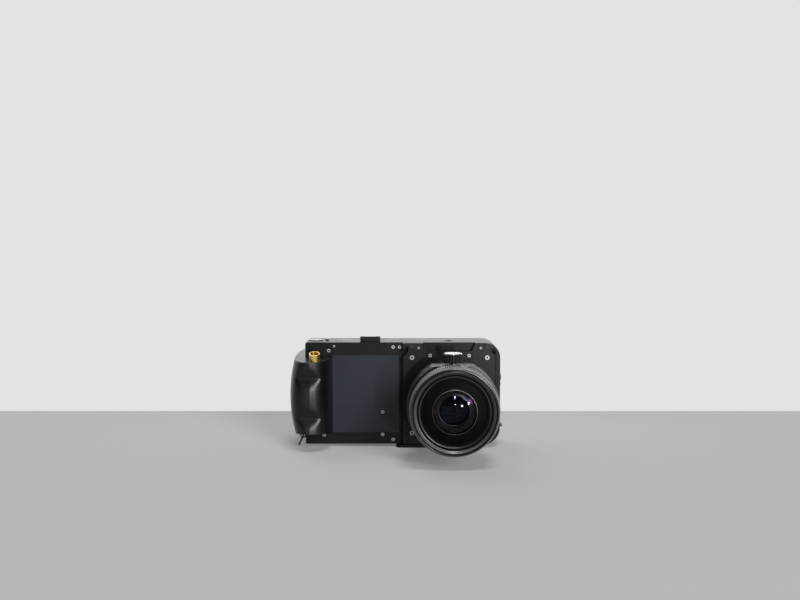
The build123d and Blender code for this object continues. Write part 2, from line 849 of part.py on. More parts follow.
def shift_housing():
    back, front = forward(cone_length), forward(cone_length + shift_length)
    housing = shift_block(front, back)
    housing -= rod_y(0, axis_height, rear_mount_radius() + shift_travel + rear_bore_gap, front - 1, back + 1)
    pocket_back = front + carriage_tongue + seat_gap
    reach = tongue_half_height + shift_travel + slide_gap
    housing -= block(-tongue_half_width - running_gap, tongue_half_width + running_gap, front - 1, pocket_back,
                     axis_height - reach, axis_height + reach)
    y = forward(knob_forward)
    housing -= rod_z(0, y, spindle_radius + running_gap, axis_height + reach - 1, axis_height + shift_flat + 1)
    return housing


def shift_carriage():
    housing_front = forward(cone_length + shift_length)
    back = housing_front - seat_gap
    front = back - carriage_flange
    flange = shift_block(front, back)
    tongue = block(-tongue_half_width, tongue_half_width, back, housing_front + carriage_tongue,
                   axis_height - tongue_half_height, axis_height + tongue_half_height)
    sleeve = rod_y(0, axis_height, bearing_radius, front - bearing_length, front)
    carriage = flange + tongue + sleeve
    carriage -= rod_y(0, axis_height, bearing_radius - bearing_wall, front - bearing_length - 1,
                      front - 0.5)
    carriage -= rod_y(0, axis_height, rear_mount_radius() + running_gap, front - 2,
                      housing_front + carriage_tongue + 1)
    return carriage


def carriage_front():
    return forward(cone_length + shift_length) - seat_gap - carriage_flange


def aperture_ring():
    back = carriage_front() - ring_gap
    ring = tube_y(axis_height, aperture_radius, bearing_radius + running_gap, back - aperture_length, back)
    groove = tube_y(axis_height, aperture_radius + 1, aperture_radius - 0.5, back - aperture_length + 2,
                    back - aperture_length + 5.5)
    return ring - groove


def focus_back():
    return carriage_front() - aperture_length - 2 * ring_gap


def focus_ring():
    back = focus_back()
    ring = tube_y(axis_height, focus_radius, bearing_radius + running_gap, back - focus_length, back)
    ring = chamfer(ring.edges().filter_by(GeomType.CIRCLE).filter_by(lambda e: e.radius > focus_radius - 0.1), 0.5)
    groove = Pos(focus_radius, 0, 0) * Rot(0, 0, 45) * Rectangle(focus_groove_depth * 1.41, focus_groove_depth * 1.41)
    cutter = extrude(groove, focus_length - 3.0)
    cutters = [Rot(0, 0, 360.0 * number / focus_grooves) * cutter for number in range(focus_grooves)]
    place = Pos(0, back - 1.5, axis_height) * Rot(90, 0, 0)
    return ring - [place * cutter for cutter in cutters]


def cell_front():
    return focus_back() - focus_length - ring_gap


def helicoid_barrel():
    outer = bearing_radius - bearing_wall - running_gap
    return tube_y(axis_height, outer, outer - cell_wall, cell_front(), cell_front() + cell_length)


def front_ring():
    back = cell_front()
    front = back - front_length
    barrel_outer = bearing_radius - bearing_wall - running_gap
    ring = rod_y(0, axis_height, front_radius, front, back)
    ring -= rod_y(0, axis_height, filter_radius, front - 1, front + filter_depth)
    funnel = Pos(0, front + filter_depth, axis_height) * Rot(-90, 0, 0)
    inner = barrel_outer - cell_wall
    ring -= funnel * Pos(0, 0, 0.3) * Cone(cone_mouth_radius, inner, 0.6)
    ring -= rod_y(0, axis_height, inner, front, back + 1)
    return chamfer(ring.edges().filter_by(GeomType.CIRCLE).filter_by(lambda e: e.radius > front_radius - 0.1), 0.4)


def retaining_ring():
    y = cell_front() + retaining_place
    outer = bearing_radius - bearing_wall - running_gap - cell_wall
    return tube_y(axis_height, outer, outer - retaining_width, y, y + retaining_length)


def lens_element(radius, y_front, edge, sag, back_sag):
    # A glass element with a domed front and a hollow back, turned about the lens axis.
    outer_radius = (radius ** 2 + sag ** 2) / (2 * sag)
    glass = rod_y(0, axis_height, radius, y_front, y_front + edge)
    dome = Pos(0, y_front + outer_radius - sag, axis_height) * Sphere(outer_radius)
    cap = rod_y(0, axis_height, radius, y_front - sag, y_front) & dome
    glass += cap
    hollow_radius = ((radius - 3) ** 2 + back_sag ** 2) / (2 * back_sag)
    glass -= Pos(0, y_front + edge + hollow_radius - back_sag, axis_height) * Sphere(hollow_radius)
    return glass


def front_element():
    inner = bearing_radius - bearing_wall - running_gap - cell_wall
    return lens_element(inner - running_gap, cell_front() + front_glass_place, front_glass_edge, front_glass_sag,
                        front_glass_hollow)


def stop_plane():
    return carriage_front() - 0.5


def shutter_unit():
    # The between-lens shutter: a ring shaped case that sits in the sleeve of the carriage.
    back = stop_plane()
    case = tube_y(axis_height, shutter_radius, stop_radius, back - shutter_length, back)
    cavity = tube_y(axis_height, blade_pivot + 4.5, stop_radius - 1, back - shutter_length + 1.2,
                    back - shutter_length + 1.6 + blade_count * blade_pitch)
    case -= cavity
    for number in range(blade_count):
        x, z = blade_pivot_place(number)
        case += rod_y(x, z, pivot_radius - running_gap, back - shutter_length + 1.0, blade_level(blade_count) + 0.3)
    return case


def blade_pivot_place(number):
    angle = 2 * math.pi * number / blade_count
    return blade_pivot * math.cos(angle), axis_height + blade_pivot * math.sin(angle)


def blade_level(number):
    return stop_plane() - shutter_length + 1.5 + number * blade_pitch


def iris_blade(number):
    # One crescent blade with its pivot at the heel.
    mid = (blade_outer + blade_inner) / 2
    half = (blade_outer - blade_inner) / 2
    ring = Circle(blade_outer) - Circle(blade_inner)
    keep = make_face(Polyline((0, 0), (60, 0), (60 * math.cos(math.radians(blade_span / 2)),
                                             60 * math.sin(math.radians(blade_span / 2))),
                              (60 * math.cos(math.radians(blade_span)),
                               60 * math.sin(math.radians(blade_span))), close=True))
    shape = ring & keep
    shape += Pos(mid * math.cos(math.radians(blade_span)), mid * math.sin(math.radians(blade_span))) * Circle(half)
    shape += Pos(blade_pivot, 0) * Circle(half * 0.8)
    shape += Pos((mid + blade_pivot) / 2, 0) * Rectangle(blade_pivot - mid, half * 1.4)
    shape -= Pos(blade_pivot, 0) * Circle(pivot_radius)
    solid = extrude(shape, blade_thickness)
    turn = 360.0 / blade_count * number
    return Pos(0, blade_level(number) + blade_thickness, axis_height) * Rot(90, 0, 0) * Rot(0, 0, turn) * solid


def inner_element():
    y = cell_front() + inner_mount_place + inner_mount_step
    return lens_element(inner_glass_radius, y, inner_glass_edge, inner_glass_sag, inner_glass_sag)


def inner_mount():
    outer = bearing_radius - bearing_wall - running_gap - cell_wall
    y = cell_front() + inner_mount_place
    mount = tube_y(axis_height, outer, outer - mount_wall, y, y + inner_mount_step)
    return mount + tube_y(axis_height, outer, inner_glass_radius + running_gap, y + inner_mount_step,
                          y + inner_mount_length)


def rear_element():
    y = stop_plane()
    return lens_element(rear_glass_radius, y + 1.0, rear_glass_length, 0.9, 2.0)


def rear_mount_radius():
    return rear_glass_radius + rear_mount_wall


def rear_mount():
    y = stop_plane()
    return tube_y(axis_height, rear_mount_radius(), rear_glass_radius + running_gap, y, y + rear_mount_length)


def shift_knob():
    base = axis_height + shift_flat + knob_lift
    y = forward(knob_forward)
    knob = rod_z(0, y, knob_radius, base, base + knob_height)
    knob = chamfer(knob.edges().group_by(Axis.Z)[0], 0.6)
    flutes = []
    for number in range(knob_flutes):
        angle = 2 * math.pi * number / knob_flutes
        flutes.append(rod_z(knob_radius * math.cos(angle), y + knob_radius * math.sin(angle),
                            knob_flute_radius, base - 1, base + knob_height + 1))
    knob -= flutes
    return knob


def knob_cap():
    base = axis_height + shift_flat + knob_lift + knob_height
    y = forward(knob_forward)
    cap = rod_z(0, y, cap_radius, base, base + cap_height)
    cap = chamfer(cap.edges().group_by(Axis.Z)[-1], 0.4)
    for number in range(cap_scallops):
        angle = 2 * math.pi * (number + 0.5) / cap_scallops
        cap -= rod_z(cap_radius * math.cos(angle), y + cap_radius * math.sin(angle), cap_scallop_radius,
                     base - 1, base + cap_height + 1)
    return cap


def shift_screw():
    top = axis_height + shift_flat + knob_lift
    low = axis_height + tongue_half_height + shift_travel + slide_gap
    return rod_z(0, forward(knob_forward), spindle_radius, low, top)


def nodes():
    made = {
        "main_housing": main_housing(),
        "lens_plate": lens_plate(),
        "lens_board": lens_board(),
        "front_panel": front_panel(),
        "base_plate": base_plate(),
        "tripod_bush_quarter": tripod_bush(0, quarter_radius, quarter_depth),
        "tripod_bush_three_eighths": tripod_bush(-three_eighths_offset, three_eighths_radius,
                                                 three_eighths_depth),
        "accessory_shoe": accessory_shoe(),
        "level_bezel": level_bezel(),
        "level_vial": level_vial(),
        "plate_screws": screw_group(plate_screws, plate_screw_radius, plate_face),
        "upper_screws": screw_group(upper_screws, upper_screw_radius, plate_face),
        "small_screws": one_node(screw_group(small_screws, small_screw_radius, plate_face), index_stud()),
        "board_screws": screw_group(board_screws, body_screw_radius, plate_face, board_thickness + 2),
        "body_screws": one_node(screw_group(body_screws, body_screw_radius, front_face),
                                screw_group(body_pins, small_screw_radius, front_face)),
        "panel_screw": screw_group([panel_screw], body_screw_radius, front_face - panel_proud, panel_thickness),
        "grip": grip(),
        "release_collar": release_collar(),
        "release_button": release_button(),
        "strap_lug": strap_lug(),
        "strap_ring": strap_ring(),
        "right_lug": right_lug(),
        "film_gate": film_gate(),
        "film_roller_left": film_roller(-1),
        "film_roller_right": film_roller(1),
        "take_up_spool": take_up_spool(),
        "drive_fork": drive_fork(),
        "film_motor": film_motor(),
        "spool_pins": spool_pins(),
        "rear_door": rear_door(),
        "hinge_pin": hinge_pin(),
        "pressure_plate": pressure_plate(),
        "door_button": door_button(),
        "battery_pack": battery_pack(),
        "circuit_board": circuit_board(),
        "speed_dial": speed_dial(),
        "power_switch": power_switch(),
        "lens_cone": lens_cone(),
        "shift_housing": shift_housing(),
        "shift_carriage": shift_carriage(),
        "shift_knob": shift_knob(),
        "knob_cap": knob_cap(),
        "shift_screw": shift_screw(),
        "aperture_ring": aperture_ring(),
        "focus_ring": focus_ring(),
        "helicoid_barrel": helicoid_barrel(),
        "front_ring": front_ring(),
        "retaining_ring": retaining_ring(),
        "front_element": front_element(),
        "inner_mount": inner_mount(),
        "inner_element": inner_element(),
        "shutter_unit": shutter_unit(),
        "rear_mount": rear_mount(),
        "rear_element": rear_element(),
    }
    for number in range(blade_count):
        made["iris_blade_%d" % (number + 1)] = iris_blade(number)
    return made


os.makedirs("parts", exist_ok=True)
for name, shape in nodes().items():
    export_step(shape, "parts/" + name + ".step")
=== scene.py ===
import json
import math

import bpy
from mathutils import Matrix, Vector


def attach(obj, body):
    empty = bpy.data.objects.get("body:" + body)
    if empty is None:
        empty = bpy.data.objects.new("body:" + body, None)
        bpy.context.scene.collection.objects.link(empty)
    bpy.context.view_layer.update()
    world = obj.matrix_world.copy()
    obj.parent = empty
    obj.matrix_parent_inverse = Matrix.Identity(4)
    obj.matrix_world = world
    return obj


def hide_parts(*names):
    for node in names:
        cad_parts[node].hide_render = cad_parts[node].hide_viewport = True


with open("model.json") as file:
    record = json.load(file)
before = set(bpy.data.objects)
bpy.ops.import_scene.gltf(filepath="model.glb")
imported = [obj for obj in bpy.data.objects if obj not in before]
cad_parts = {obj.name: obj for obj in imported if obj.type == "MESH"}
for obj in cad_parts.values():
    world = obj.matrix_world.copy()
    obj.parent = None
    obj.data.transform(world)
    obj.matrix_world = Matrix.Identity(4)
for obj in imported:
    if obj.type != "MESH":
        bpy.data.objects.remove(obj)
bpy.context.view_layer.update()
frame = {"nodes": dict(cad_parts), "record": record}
print("frame loaded:", len(frame["nodes"]), "nodes")

mm = 0.001
axisHeight = 57 * mm  # the lens axis above the tripod socket
hair = 0.001 * mm  # points nearer than this are the same point


# colours are written as sRGB hex and turned to linear here
def linear(hexColour, alpha=1.0):
    channels = [int(hexColour[i:i + 2], 16) / 255 for i in (1, 3, 5)]
    return [c / 12.92 if c <= 0.04045 else ((c + 0.055) / 1.055) ** 2.4 for c in channels] + [alpha]


def addNode(tree, kind, settings=None, links=None):
    node = tree.nodes.new(kind)
    for key, value in (settings or {}).items():
        if isinstance(key, int) or key in node.inputs:
            node.inputs[key].default_value = value
        else:
            setattr(node, key, value)
    for key, source in (links or {}).items():
        tree.links.new(source, node.inputs[key])
    return node


def newMaterial(name):
    material = bpy.data.materials.new(name)
    material.use_nodes = True
    tree = material.node_tree
    tree.nodes.clear()
    return material, tree


# a finish with mottled colour, uneven gloss and a fine grain, sizes in millimetres: real grit is finer
# than 0.2 mm, which doesn't show from here, so the grain is drawn 0.2 to 0.6 mm wide
def grainedFinish(name, look):
    material, tree = newMaterial(name)
    place = addNode(tree, "ShaderNodeTexCoord")
    cloud = addNode(tree, "ShaderNodeTexNoise",
                    {"Scale": 1 / (look["cloudMm"] * mm), "Detail": 4.0, "Roughness": 0.6},
                    {"Vector": place.outputs["Object"]})
    grain = addNode(tree, "ShaderNodeTexNoise",
                    {"Scale": 1 / (look["grainMm"] * mm), "Detail": 3.0, "Roughness": 0.7},
                    {"Vector": place.outputs["Object"]})
    # most of the noise lies between 0.3 and 0.7, and the grain stands 0.3 of its width high
    spread = addNode(tree, "ShaderNodeMapRange", {"From Min": 0.3, "From Max": 0.7},
                     {"Value": cloud.outputs["Fac"]})
    colour = addNode(tree, "ShaderNodeMix", {"data_type": "RGBA", 6: linear(look["dark"]),
                                             7: linear(look["light"])},
                     {0: spread.outputs["Result"]})
    gloss = addNode(tree, "ShaderNodeMapRange",
                    {"From Min": 0.3, "From Max": 0.7, "To Min": look["roughness"][0],
                     "To Max": look["roughness"][1]},
                    {"Value": cloud.outputs["Fac"]})
    bump = addNode(tree, "ShaderNodeBump",
                   {"Strength": look["bump"], "Distance": look["grainMm"] * mm * 0.3},
                   {"Height": grain.outputs["Fac"]})
    shader = addNode(tree, "ShaderNodeBsdfPrincipled",
                     {"Metallic": look.get("metallic", 0.0), "Specular IOR Level": look.get("sheen", 0.5)},
                     {"Base Color": colour.outputs[2], "Roughness": gloss.outputs["Result"],
                      "Normal": bump.outputs["Normal"]})
    addNode(tree, "ShaderNodeOutputMaterial", {}, {"Surface": shader.outputs["BSDF"]})
    return material


# bead blasted aluminium, anodised black: an even satin black with a very fine sparkle of grit
blastedAnodised = grainedFinish("blasted_black_anodised_aluminium", {
    "dark": "#0c0d10", "light": "#101114", "cloudMm": 30, "grainMm": 0.35, "bump": 0.1,
    "roughness": (0.32, 0.38), "sheen": 0.12})
# milled aluminium, anodised black: smoother and a little lighter than the blasted body
milledAnodised = grainedFinish("milled_black_anodised_aluminium", {
    "dark": "#0f1013", "light": "#131418", "cloudMm": 35, "grainMm": 0.5, "bump": 0.06,
    "roughness": (0.32, 0.38), "sheen": 0.13})
# lapped aluminium, anodised slate grey: nearly flat, cool blue grey
slateAnodised = grainedFinish("lapped_slate_anodised_aluminium", {
    "dark": "#1e2228", "light": "#22262c", "cloudMm": 60, "grainMm": 0.4, "bump": 0.02,
    "roughness": (0.30, 0.34), "sheen": 0.14})
# turned aluminium, anodised semi-gloss black: sharp highlights run round it
barrelAnodised = grainedFinish("turned_black_anodised_aluminium", {
    "dark": "#161618", "light": "#1b1b1e", "cloudMm": 30, "grainMm": 0.4, "bump": 0.02,
    "roughness": (0.24, 0.28), "sheen": 0.6})
# black lacquer over the brass cup in the lens: thin and glossy, with a small clear highlight
lacqueredBlack = grainedFinish("black_lacquer_over_brass", {
    "dark": "#060607", "light": "#0a0a0b", "cloudMm": 8, "grainMm": 0.3, "bump": 0.01,
    "roughness": (0.19, 0.22)})
# knurled aluminium, anodised black; painted highlight: the ring is painted light grey for the light that
# its teeth catch
knurlPaintedHighlight = grainedFinish("black_anodised_knurling_painted_highlight", {
    "dark": "#626268", "light": "#77777d", "cloudMm": 12, "grainMm": 0.4, "bump": 0.03,
    "roughness": (0.28, 0.34)})
# glass-filled nylon moulded in a polished tool: soft satin black with a faint orange peel
mouldedNylon = grainedFinish("moulded_satin_nylon", {
    "dark": "#050607", "light": "#08090a", "cloudMm": 20, "grainMm": 0.6, "bump": 0.03,
    "roughness": (0.3, 0.34), "sheen": 0.33})
# flocked and blackened inside of the lens: takes nearly all light; the same finish is also painted as
# shade into screw sockets, the roots of the knurl, the front ring's groove and thread, and over the
# aperture ring
blackenedAndPaintedShade = grainedFinish("matt_blackened_aluminium_and_painted_shade", {
    "dark": "#020303", "light": "#030506", "cloudMm": 8, "grainMm": 0.3, "bump": 0.05,
    "roughness": (0.45, 0.55), "sheen": 0.03})
# tumbled stainless steel screws: pale grey with soft highlights
tumbledSteel = grainedFinish("tumbled_stainless_steel", {
    "dark": "#828284", "light": "#a6a6a8", "cloudMm": 1.5, "grainMm": 0.2, "bump": 0.06,
    "roughness": (0.34, 0.44), "metallic": 0.55})
# ground steel for shafts, rollers and pins: darker grey, a little uneven
groundSteel = grainedFinish("ground_steel", {
    "dark": "#6d6e70", "light": "#8b8c8f", "cloudMm": 3, "grainMm": 0.25, "bump": 0.1,
    "roughness": (0.28, 0.4), "metallic": 1.0})
# aluminium polished and anodised gold: warm, glossy
goldAnodised = grainedFinish("polished_gold_anodised_aluminium", {
    "dark": "#f0c258", "light": "#ffdf8c", "cloudMm": 4, "grainMm": 0.2, "bump": 0.05,
    "roughness": (0.26, 0.34), "metallic": 1.0})
# polished aluminium cap of the knob: bright, with soft reflections
polishedAluminium = grainedFinish("polished_aluminium", {
    "dark": "#8c8c90", "light": "#b4b4b8", "cloudMm": 3, "grainMm": 0.2, "bump": 0.05,
    "roughness": (0.2, 0.26), "metallic": 1.0})
# polished acetal button: black with a violet sheen where it catches light
polishedAcetal = grainedFinish("polished_black_acetal", {
    "dark": "#120d1c", "light": "#1f1830", "cloudMm": 5, "grainMm": 0.3, "bump": 0.03,
    "roughness": (0.28, 0.34)})
# black oxide spring steel of the iris and the strap ring: dark, half matt
oxideSteel = grainedFinish("black_oxide_spring_steel", {
    "dark": "#1a1a1d", "light": "#242428", "cloudMm": 6, "grainMm": 0.2, "bump": 0.06,
    "roughness": (0.35, 0.45), "metallic": 0.6})
# glass fibre laminate under green solder mask: deep green, a little rough
laminate = grainedFinish("solder_mask_laminate", {
    "dark": "#0f3a22", "light": "#17492c", "cloudMm": 5, "grainMm": 0.4, "bump": 0.15,
    "roughness": (0.3, 0.4)})
# vinyl shrink sleeve of the battery pack: dull blue with a faint orange peel
shrinkSleeve = grainedFinish("vinyl_shrink_sleeve", {
    "dark": "#1c2740", "light": "#243152", "cloudMm": 9, "grainMm": 0.5, "bump": 0.1,
    "roughness": (0.35, 0.45)})


# ground and coated optical glass: clear, and the coating leaves only a share of a tinted reflection
def coatedGlass(name, look):
    material, tree = newMaterial(name)
    place = addNode(tree, "ShaderNodeTexCoord")
    dust = addNode(tree, "ShaderNodeTexNoise", {"Scale": 1 / (look["dustMm"] * mm), "Detail": 2.0},
                   {"Vector": place.outputs["Object"]})
    haze = addNode(tree, "ShaderNodeMapRange",
                   {"From Min": 0.4, "From Max": 0.8, "To Min": 0.02, "To Max": look["haze"]},
                   {"Value": dust.outputs["Fac"]})
    clear = addNode(tree, "ShaderNodeBsdfTransparent", {"Color": linear(look["tint"])})
    mirror = addNode(tree, "ShaderNodeBsdfGlossy", {"Color": linear(look["coating"])},
                     {"Roughness": haze.outputs["Result"]})
    facing = addNode(tree, "ShaderNodeFresnel", {"IOR": look["ior"]})
    left = addNode(tree, "ShaderNodeMath", {"operation": "MULTIPLY", 1: look["left"]},
                   {0: facing.outputs["Fac"]})
    mixed = addNode(tree, "ShaderNodeMixShader", {}, {0: left.outputs[0], 1: clear.outputs["BSDF"],
                                                      2: mirror.outputs["BSDF"]})
    addNode(tree, "ShaderNodeOutputMaterial", {}, {"Surface": mixed.outputs["Shader"]})
    return material


frontGlass = coatedGlass("coated_crown_glass", {
    "tint": "#dfe2e8", "coating": "#f0dcf2", "ior": 1.5, "left": 0.4, "dustMm": 6, "haze": 0.05})
innerGlass = coatedGlass("coated_flint_glass", {
    "tint": "#c8c8d4", "coating": "#b8c4e4", "ior": 1.62, "left": 0.3, "dustMm": 5, "haze": 0.05})
rearGlass = coatedGlass("coated_lanthanum_glass", {
    "tint": "#c8d6cc", "coating": "#8fe4b4", "ior": 1.7, "left": 0.35, "dustMm": 5, "haze": 0.05})
# the bubble level's vial: clear acrylic over yellow-green spirit, uncoated
vialGlass = coatedGlass("acrylic_level_vial", {
    "tint": "#c8e08a", "coating": "#f4ffe0", "ior": 1.49, "left": 1.0, "dustMm": 3, "haze": 0.1})
print("materials made")


def deselectAll():
    if bpy.context.object and bpy.context.object.mode != "OBJECT":
        bpy.ops.object.mode_set(mode="OBJECT")
    bpy.ops.object.select_all(action="DESELECT")


def activate(piece):
    deselectAll()
    piece.select_set(True)
    bpy.context.view_layer.objects.active = piece


def nodeBody(name):
    for body, names in frame["record"]["behaviour"]["bodies"].items():
        if name in names:
            return body
    return "camera"


# sets the piece's finish and smoothing, and its body from the CAD node that it stands for
def finishPiece(piece, name, node, material, smoothAngle):
    piece.name = name
    piece.data.materials.clear()
    piece.data.materials.append(material)
    activate(piece)
    bpy.ops.object.transform_apply(location=True, rotation=True, scale=True)
    bpy.ops.object.shade_smooth_by_angle(angle=math.radians(smoothAngle))
    level = piece.modifiers.new("level", "WEIGHTED_NORMAL")
    level.keep_sharp = True
    bpy.ops.object.modifier_apply(modifier=level.name)
    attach(piece, nodeBody(node))


# how the machined pieces are copied: flats merged, edges sharper than edgeAngle broken
machining = {"flatAngle": 0.4, "edgeAngle": 40, "edgeSteps": 2, "smoothAngle": 32, "socketShadeStart": 0.5}


# a copy of a CAD node whose edges are broken the way the real piece's are
def brokenEdges(name, material, bevelMm, socketShadeMaterial=None):
    source = frame["nodes"][name]
    piece = bpy.data.objects.new(name + "_finished", source.data.copy())
    bpy.context.scene.collection.objects.link(piece)
    activate(piece)
    bpy.ops.object.mode_set(mode="EDIT")
    bpy.ops.mesh.select_all(action="SELECT")
    bpy.ops.mesh.remove_doubles(threshold=hair)
    bpy.ops.mesh.dissolve_limited(angle_limit=math.radians(machining["flatAngle"]))
    bpy.ops.object.mode_set(mode="OBJECT")
    if bevelMm:
        bevel = piece.modifiers.new("edge", "BEVEL")
        bevel.width = bevelMm * mm
        bevel.segments = machining["edgeSteps"]
        bevel.limit_method = "ANGLE"
        bevel.angle_limit = math.radians(machining["edgeAngle"])
        bevel.use_clamp_overlap = True
        bpy.ops.object.modifier_apply(modifier=bevel.name)
    finishPiece(piece, name + "_finished", name, material, machining["smoothAngle"])
    if socketShadeMaterial:
        # painted shade: all that lies deeper than the face of the screw head, socket and shank, gets the
        # dark finish for the shade in the socket
        piece.data.materials.append(socketShadeMaterial)
        frontY = min(vertex.co.y for vertex in piece.data.vertices)
        for face in piece.data.polygons:
            deep = face.center.y > frontY + machining["socketShadeStart"] * mm
            face.material_index = 1 if deep else 0
    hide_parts(name)


# a closed outline of (radius, distance behind the front) pairs turned round the lens axis, all in mm
def turnedPiece(name, look, material, replaced):
    deselectAll()
    outline = look["outline"]
    bpy.ops.mesh.primitive_circle_add(vertices=len(outline), radius=1, fill_type="NOTHING")
    piece = bpy.context.object
    for vertex, (radius, back) in zip(piece.data.vertices, outline):
        vertex.co = (radius * mm, look["frontY"] * mm + back * mm, axisHeight)
    bpy.ops.object.mode_set(mode="EDIT")
    bpy.ops.mesh.select_all(action="SELECT")
    bpy.ops.mesh.spin(steps=look["steps"], angle=math.tau, center=(0, 0, axisHeight), axis=(0, 1, 0))
    bpy.ops.mesh.select_all(action="SELECT")
    bpy.ops.mesh.remove_doubles(threshold=hair)
    bpy.ops.mesh.normals_make_consistent(inside=False)
    bpy.ops.object.mode_set(mode="OBJECT")
    finishPiece(piece, name, replaced, material, smoothAngle=28)
    # between the radii of each pair in "matt" the surface gets the blackened finish: the lens's own black
    # inside, and painted shade where a pair marks the front ring's groove and thread
    piece.data.materials.append(blackenedAndPaintedShade)
    for face in piece.data.polygons:
        radius = math.hypot(face.center.x, face.center.z - axisHeight) / mm
        face.material_index = 1 if any(low < radius < high for low, high in look["matt"]) else 0
    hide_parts(replaced)


# a knurled ring: a turned tube whose middle band carries straight teeth
def knurledRing(name, look, material, replaced):
    deselectAll()
    count = look["teeth"] * 2
    bpy.ops.mesh.primitive_circle_add(vertices=count, radius=look["root"] * mm, fill_type="NOTHING")
    piece = bpy.context.object
    bpy.ops.object.mode_set(mode="EDIT")
    bpy.ops.mesh.select_all(action="SELECT")
    for length in (look["margin"], look["length"] - 2 * look["margin"], look["margin"]):
        bpy.ops.mesh.extrude_region_move(TRANSFORM_OT_translate={"value": (0, 0, length * mm)})
    bpy.ops.mesh.select_all(action="SELECT")
    bpy.ops.mesh.normals_make_consistent(inside=False)
    bpy.ops.mesh.select_mode(type="FACE")
    bpy.ops.mesh.select_all(action="DESELECT")
    bpy.ops.object.mode_set(mode="OBJECT")
    # every second face of the middle band is raised to a tooth
    middle = look["length"] / 2 * mm
    for face in piece.data.polygons:
        turn = math.atan2(face.center.y, face.center.x) % math.tau
        band = abs(face.center.z - middle) < look["length"] / 4 * mm
        face.select = band and int(turn / math.tau * count) % 2 == 0
    bpy.ops.object.mode_set(mode="EDIT")
    bpy.ops.mesh.extrude_faces_move(TRANSFORM_OT_shrink_fatten={"value": look["toothHeight"] * mm})
    bpy.ops.mesh.select_mode(type="VERT")
    bpy.ops.mesh.select_all(action="DESELECT")
    bpy.ops.object.mode_set(mode="OBJECT")
    # the two end rims are drawn in to the bore and joined
    for edge in piece.data.edges:
        heights = [piece.data.vertices[index].co.z for index in edge.vertices]
        edge.select = max(heights) < hair or min(heights) > look["length"] * mm - hair
    bpy.ops.object.mode_set(mode="EDIT")
    bpy.ops.mesh.select_mode(type="EDGE")
    bpy.ops.mesh.extrude_region_move()
    share = look["bore"] / look["root"]
    bpy.ops.transform.resize(value=(share, share, 1), center_override=(0, 0, 0))
    bpy.ops.mesh.bridge_edge_loops()
    bpy.ops.mesh.select_all(action="SELECT")
    bpy.ops.mesh.normals_make_consistent(inside=False)
    bpy.ops.transform.rotate(value=math.radians(90), orient_axis="X", center_override=(0, 0, 0))
    bpy.ops.object.mode_set(mode="OBJECT")
    low = min(vertex.co.y for vertex in piece.data.vertices)
    for vertex in piece.data.vertices:
        vertex.co.y += look["frontY"] * mm - low
        vertex.co.z += axisHeight
    finishPiece(piece, name, replaced, material, smoothAngle=25)
    # painted shade: the roots between the teeth get the blackened finish for the shade that falls between
    # the teeth
    piece.data.materials.append(blackenedAndPaintedShade)
    bandCentre = look["frontY"] + look["length"] / 2
    bandHalf = look["length"] / 2 - look["margin"]
    for face in piece.data.polygons:
        radius = math.hypot(face.center.x, face.center.z - axisHeight) / mm
        inBand = abs(face.center.y / mm - bandCentre) < bandHalf
        root = look["bore"] + 1 < radius < look["root"] + 0.1
        face.material_index = 1 if inBand and root else 0
    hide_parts(replaced)


# the finish of each machined piece, how far its edges are broken in mm, and for the screws the finish
# painted as shade into their sockets
machinedPieces = {
    "main_housing": (blastedAnodised, 0.45),
    "lens_plate": (milledAnodised, 0.4),
    "lens_board": (milledAnodised, 0.2),
    "front_panel": (slateAnodised, 0.25),
    "base_plate": (blastedAnodised, 0.4),
    "accessory_shoe": (milledAnodised, 0.2),
    "rear_door": (blastedAnodised, 0.35),
    "release_collar": (goldAnodised, 0.15),
    "release_button": (polishedAcetal, 0.1),
    "shift_housing": (barrelAnodised, 0.4),
    "shift_carriage": (barrelAnodised, 0.3),
    "lens_cone": (barrelAnodised, 0.3),
    # painted shade: the aperture ring gets the near-black finish for the shaded gap between the shift
    # housing and the focus ring
    "aperture_ring": (blackenedAndPaintedShade, 0.25),
    "shift_knob": (milledAnodised, 0.12),
    "knob_cap": (polishedAluminium, 0.15),
    "plate_screws": (tumbledSteel, 0.12, blackenedAndPaintedShade),
    "small_screws": (tumbledSteel, 0.12, blackenedAndPaintedShade),
    "board_screws": (tumbledSteel, 0.12, blackenedAndPaintedShade),
    "body_screws": (tumbledSteel, 0.12, blackenedAndPaintedShade),
    "panel_screw": (tumbledSteel, 0.12, blackenedAndPaintedShade),
    "upper_screws": (oxideSteel, 0.3),
    "speed_dial": (barrelAnodised, 0.15),
    "power_switch": (barrelAnodised, 0.15),
    "door_button": (barrelAnodised, 0.15),
    "right_lug": (barrelAnodised, 0.15),
    "level_bezel": (barrelAnodised, 0.15),
    "strap_lug": (oxideSteel, 0.0),
    "strap_ring": (oxideSteel, 0.0),
    "shutter_unit": (blackenedAndPaintedShade, 0.15),
    "front_element": (frontGlass, 0.0),
    "rear_element": (rearGlass, 0.0),
    "level_vial": (vialGlass, 0.0),
}
for name, look in machinedPieces.items():
    brokenEdges(name, *look)
print("machined pieces finished")

# the grip: plan outlines between listed points, with two finger grooves pressed into the nose
grip = {
    "bottom": 15.8, "top": 101.3, "topSlope": 5.5, "bottomSlope": 7.0, "right": -126.0, "side": -170.4,
    "bodySide": -155.2, "face": -23.0, "back": 18.5, "backCorner": 30.5, "deepest": 41.5, "reach": 34.0,
    "taper": 5.9, "rows": 110, "spare": 5.0, "edge": 0.9, "edgeSteps": 3, "edgeAngle": 50,
    "grooves": (78.5, 36.2), "grooveDepth": 4.6, "grooveSlope": 0.5, "grooveRound": 0.6, "blend": 1.8,
    "boreX": -142.6, "boreY": -49.0, "boreLean": 17.0, "boreRadius": 5.7, "boreDepth": 7.2,
}


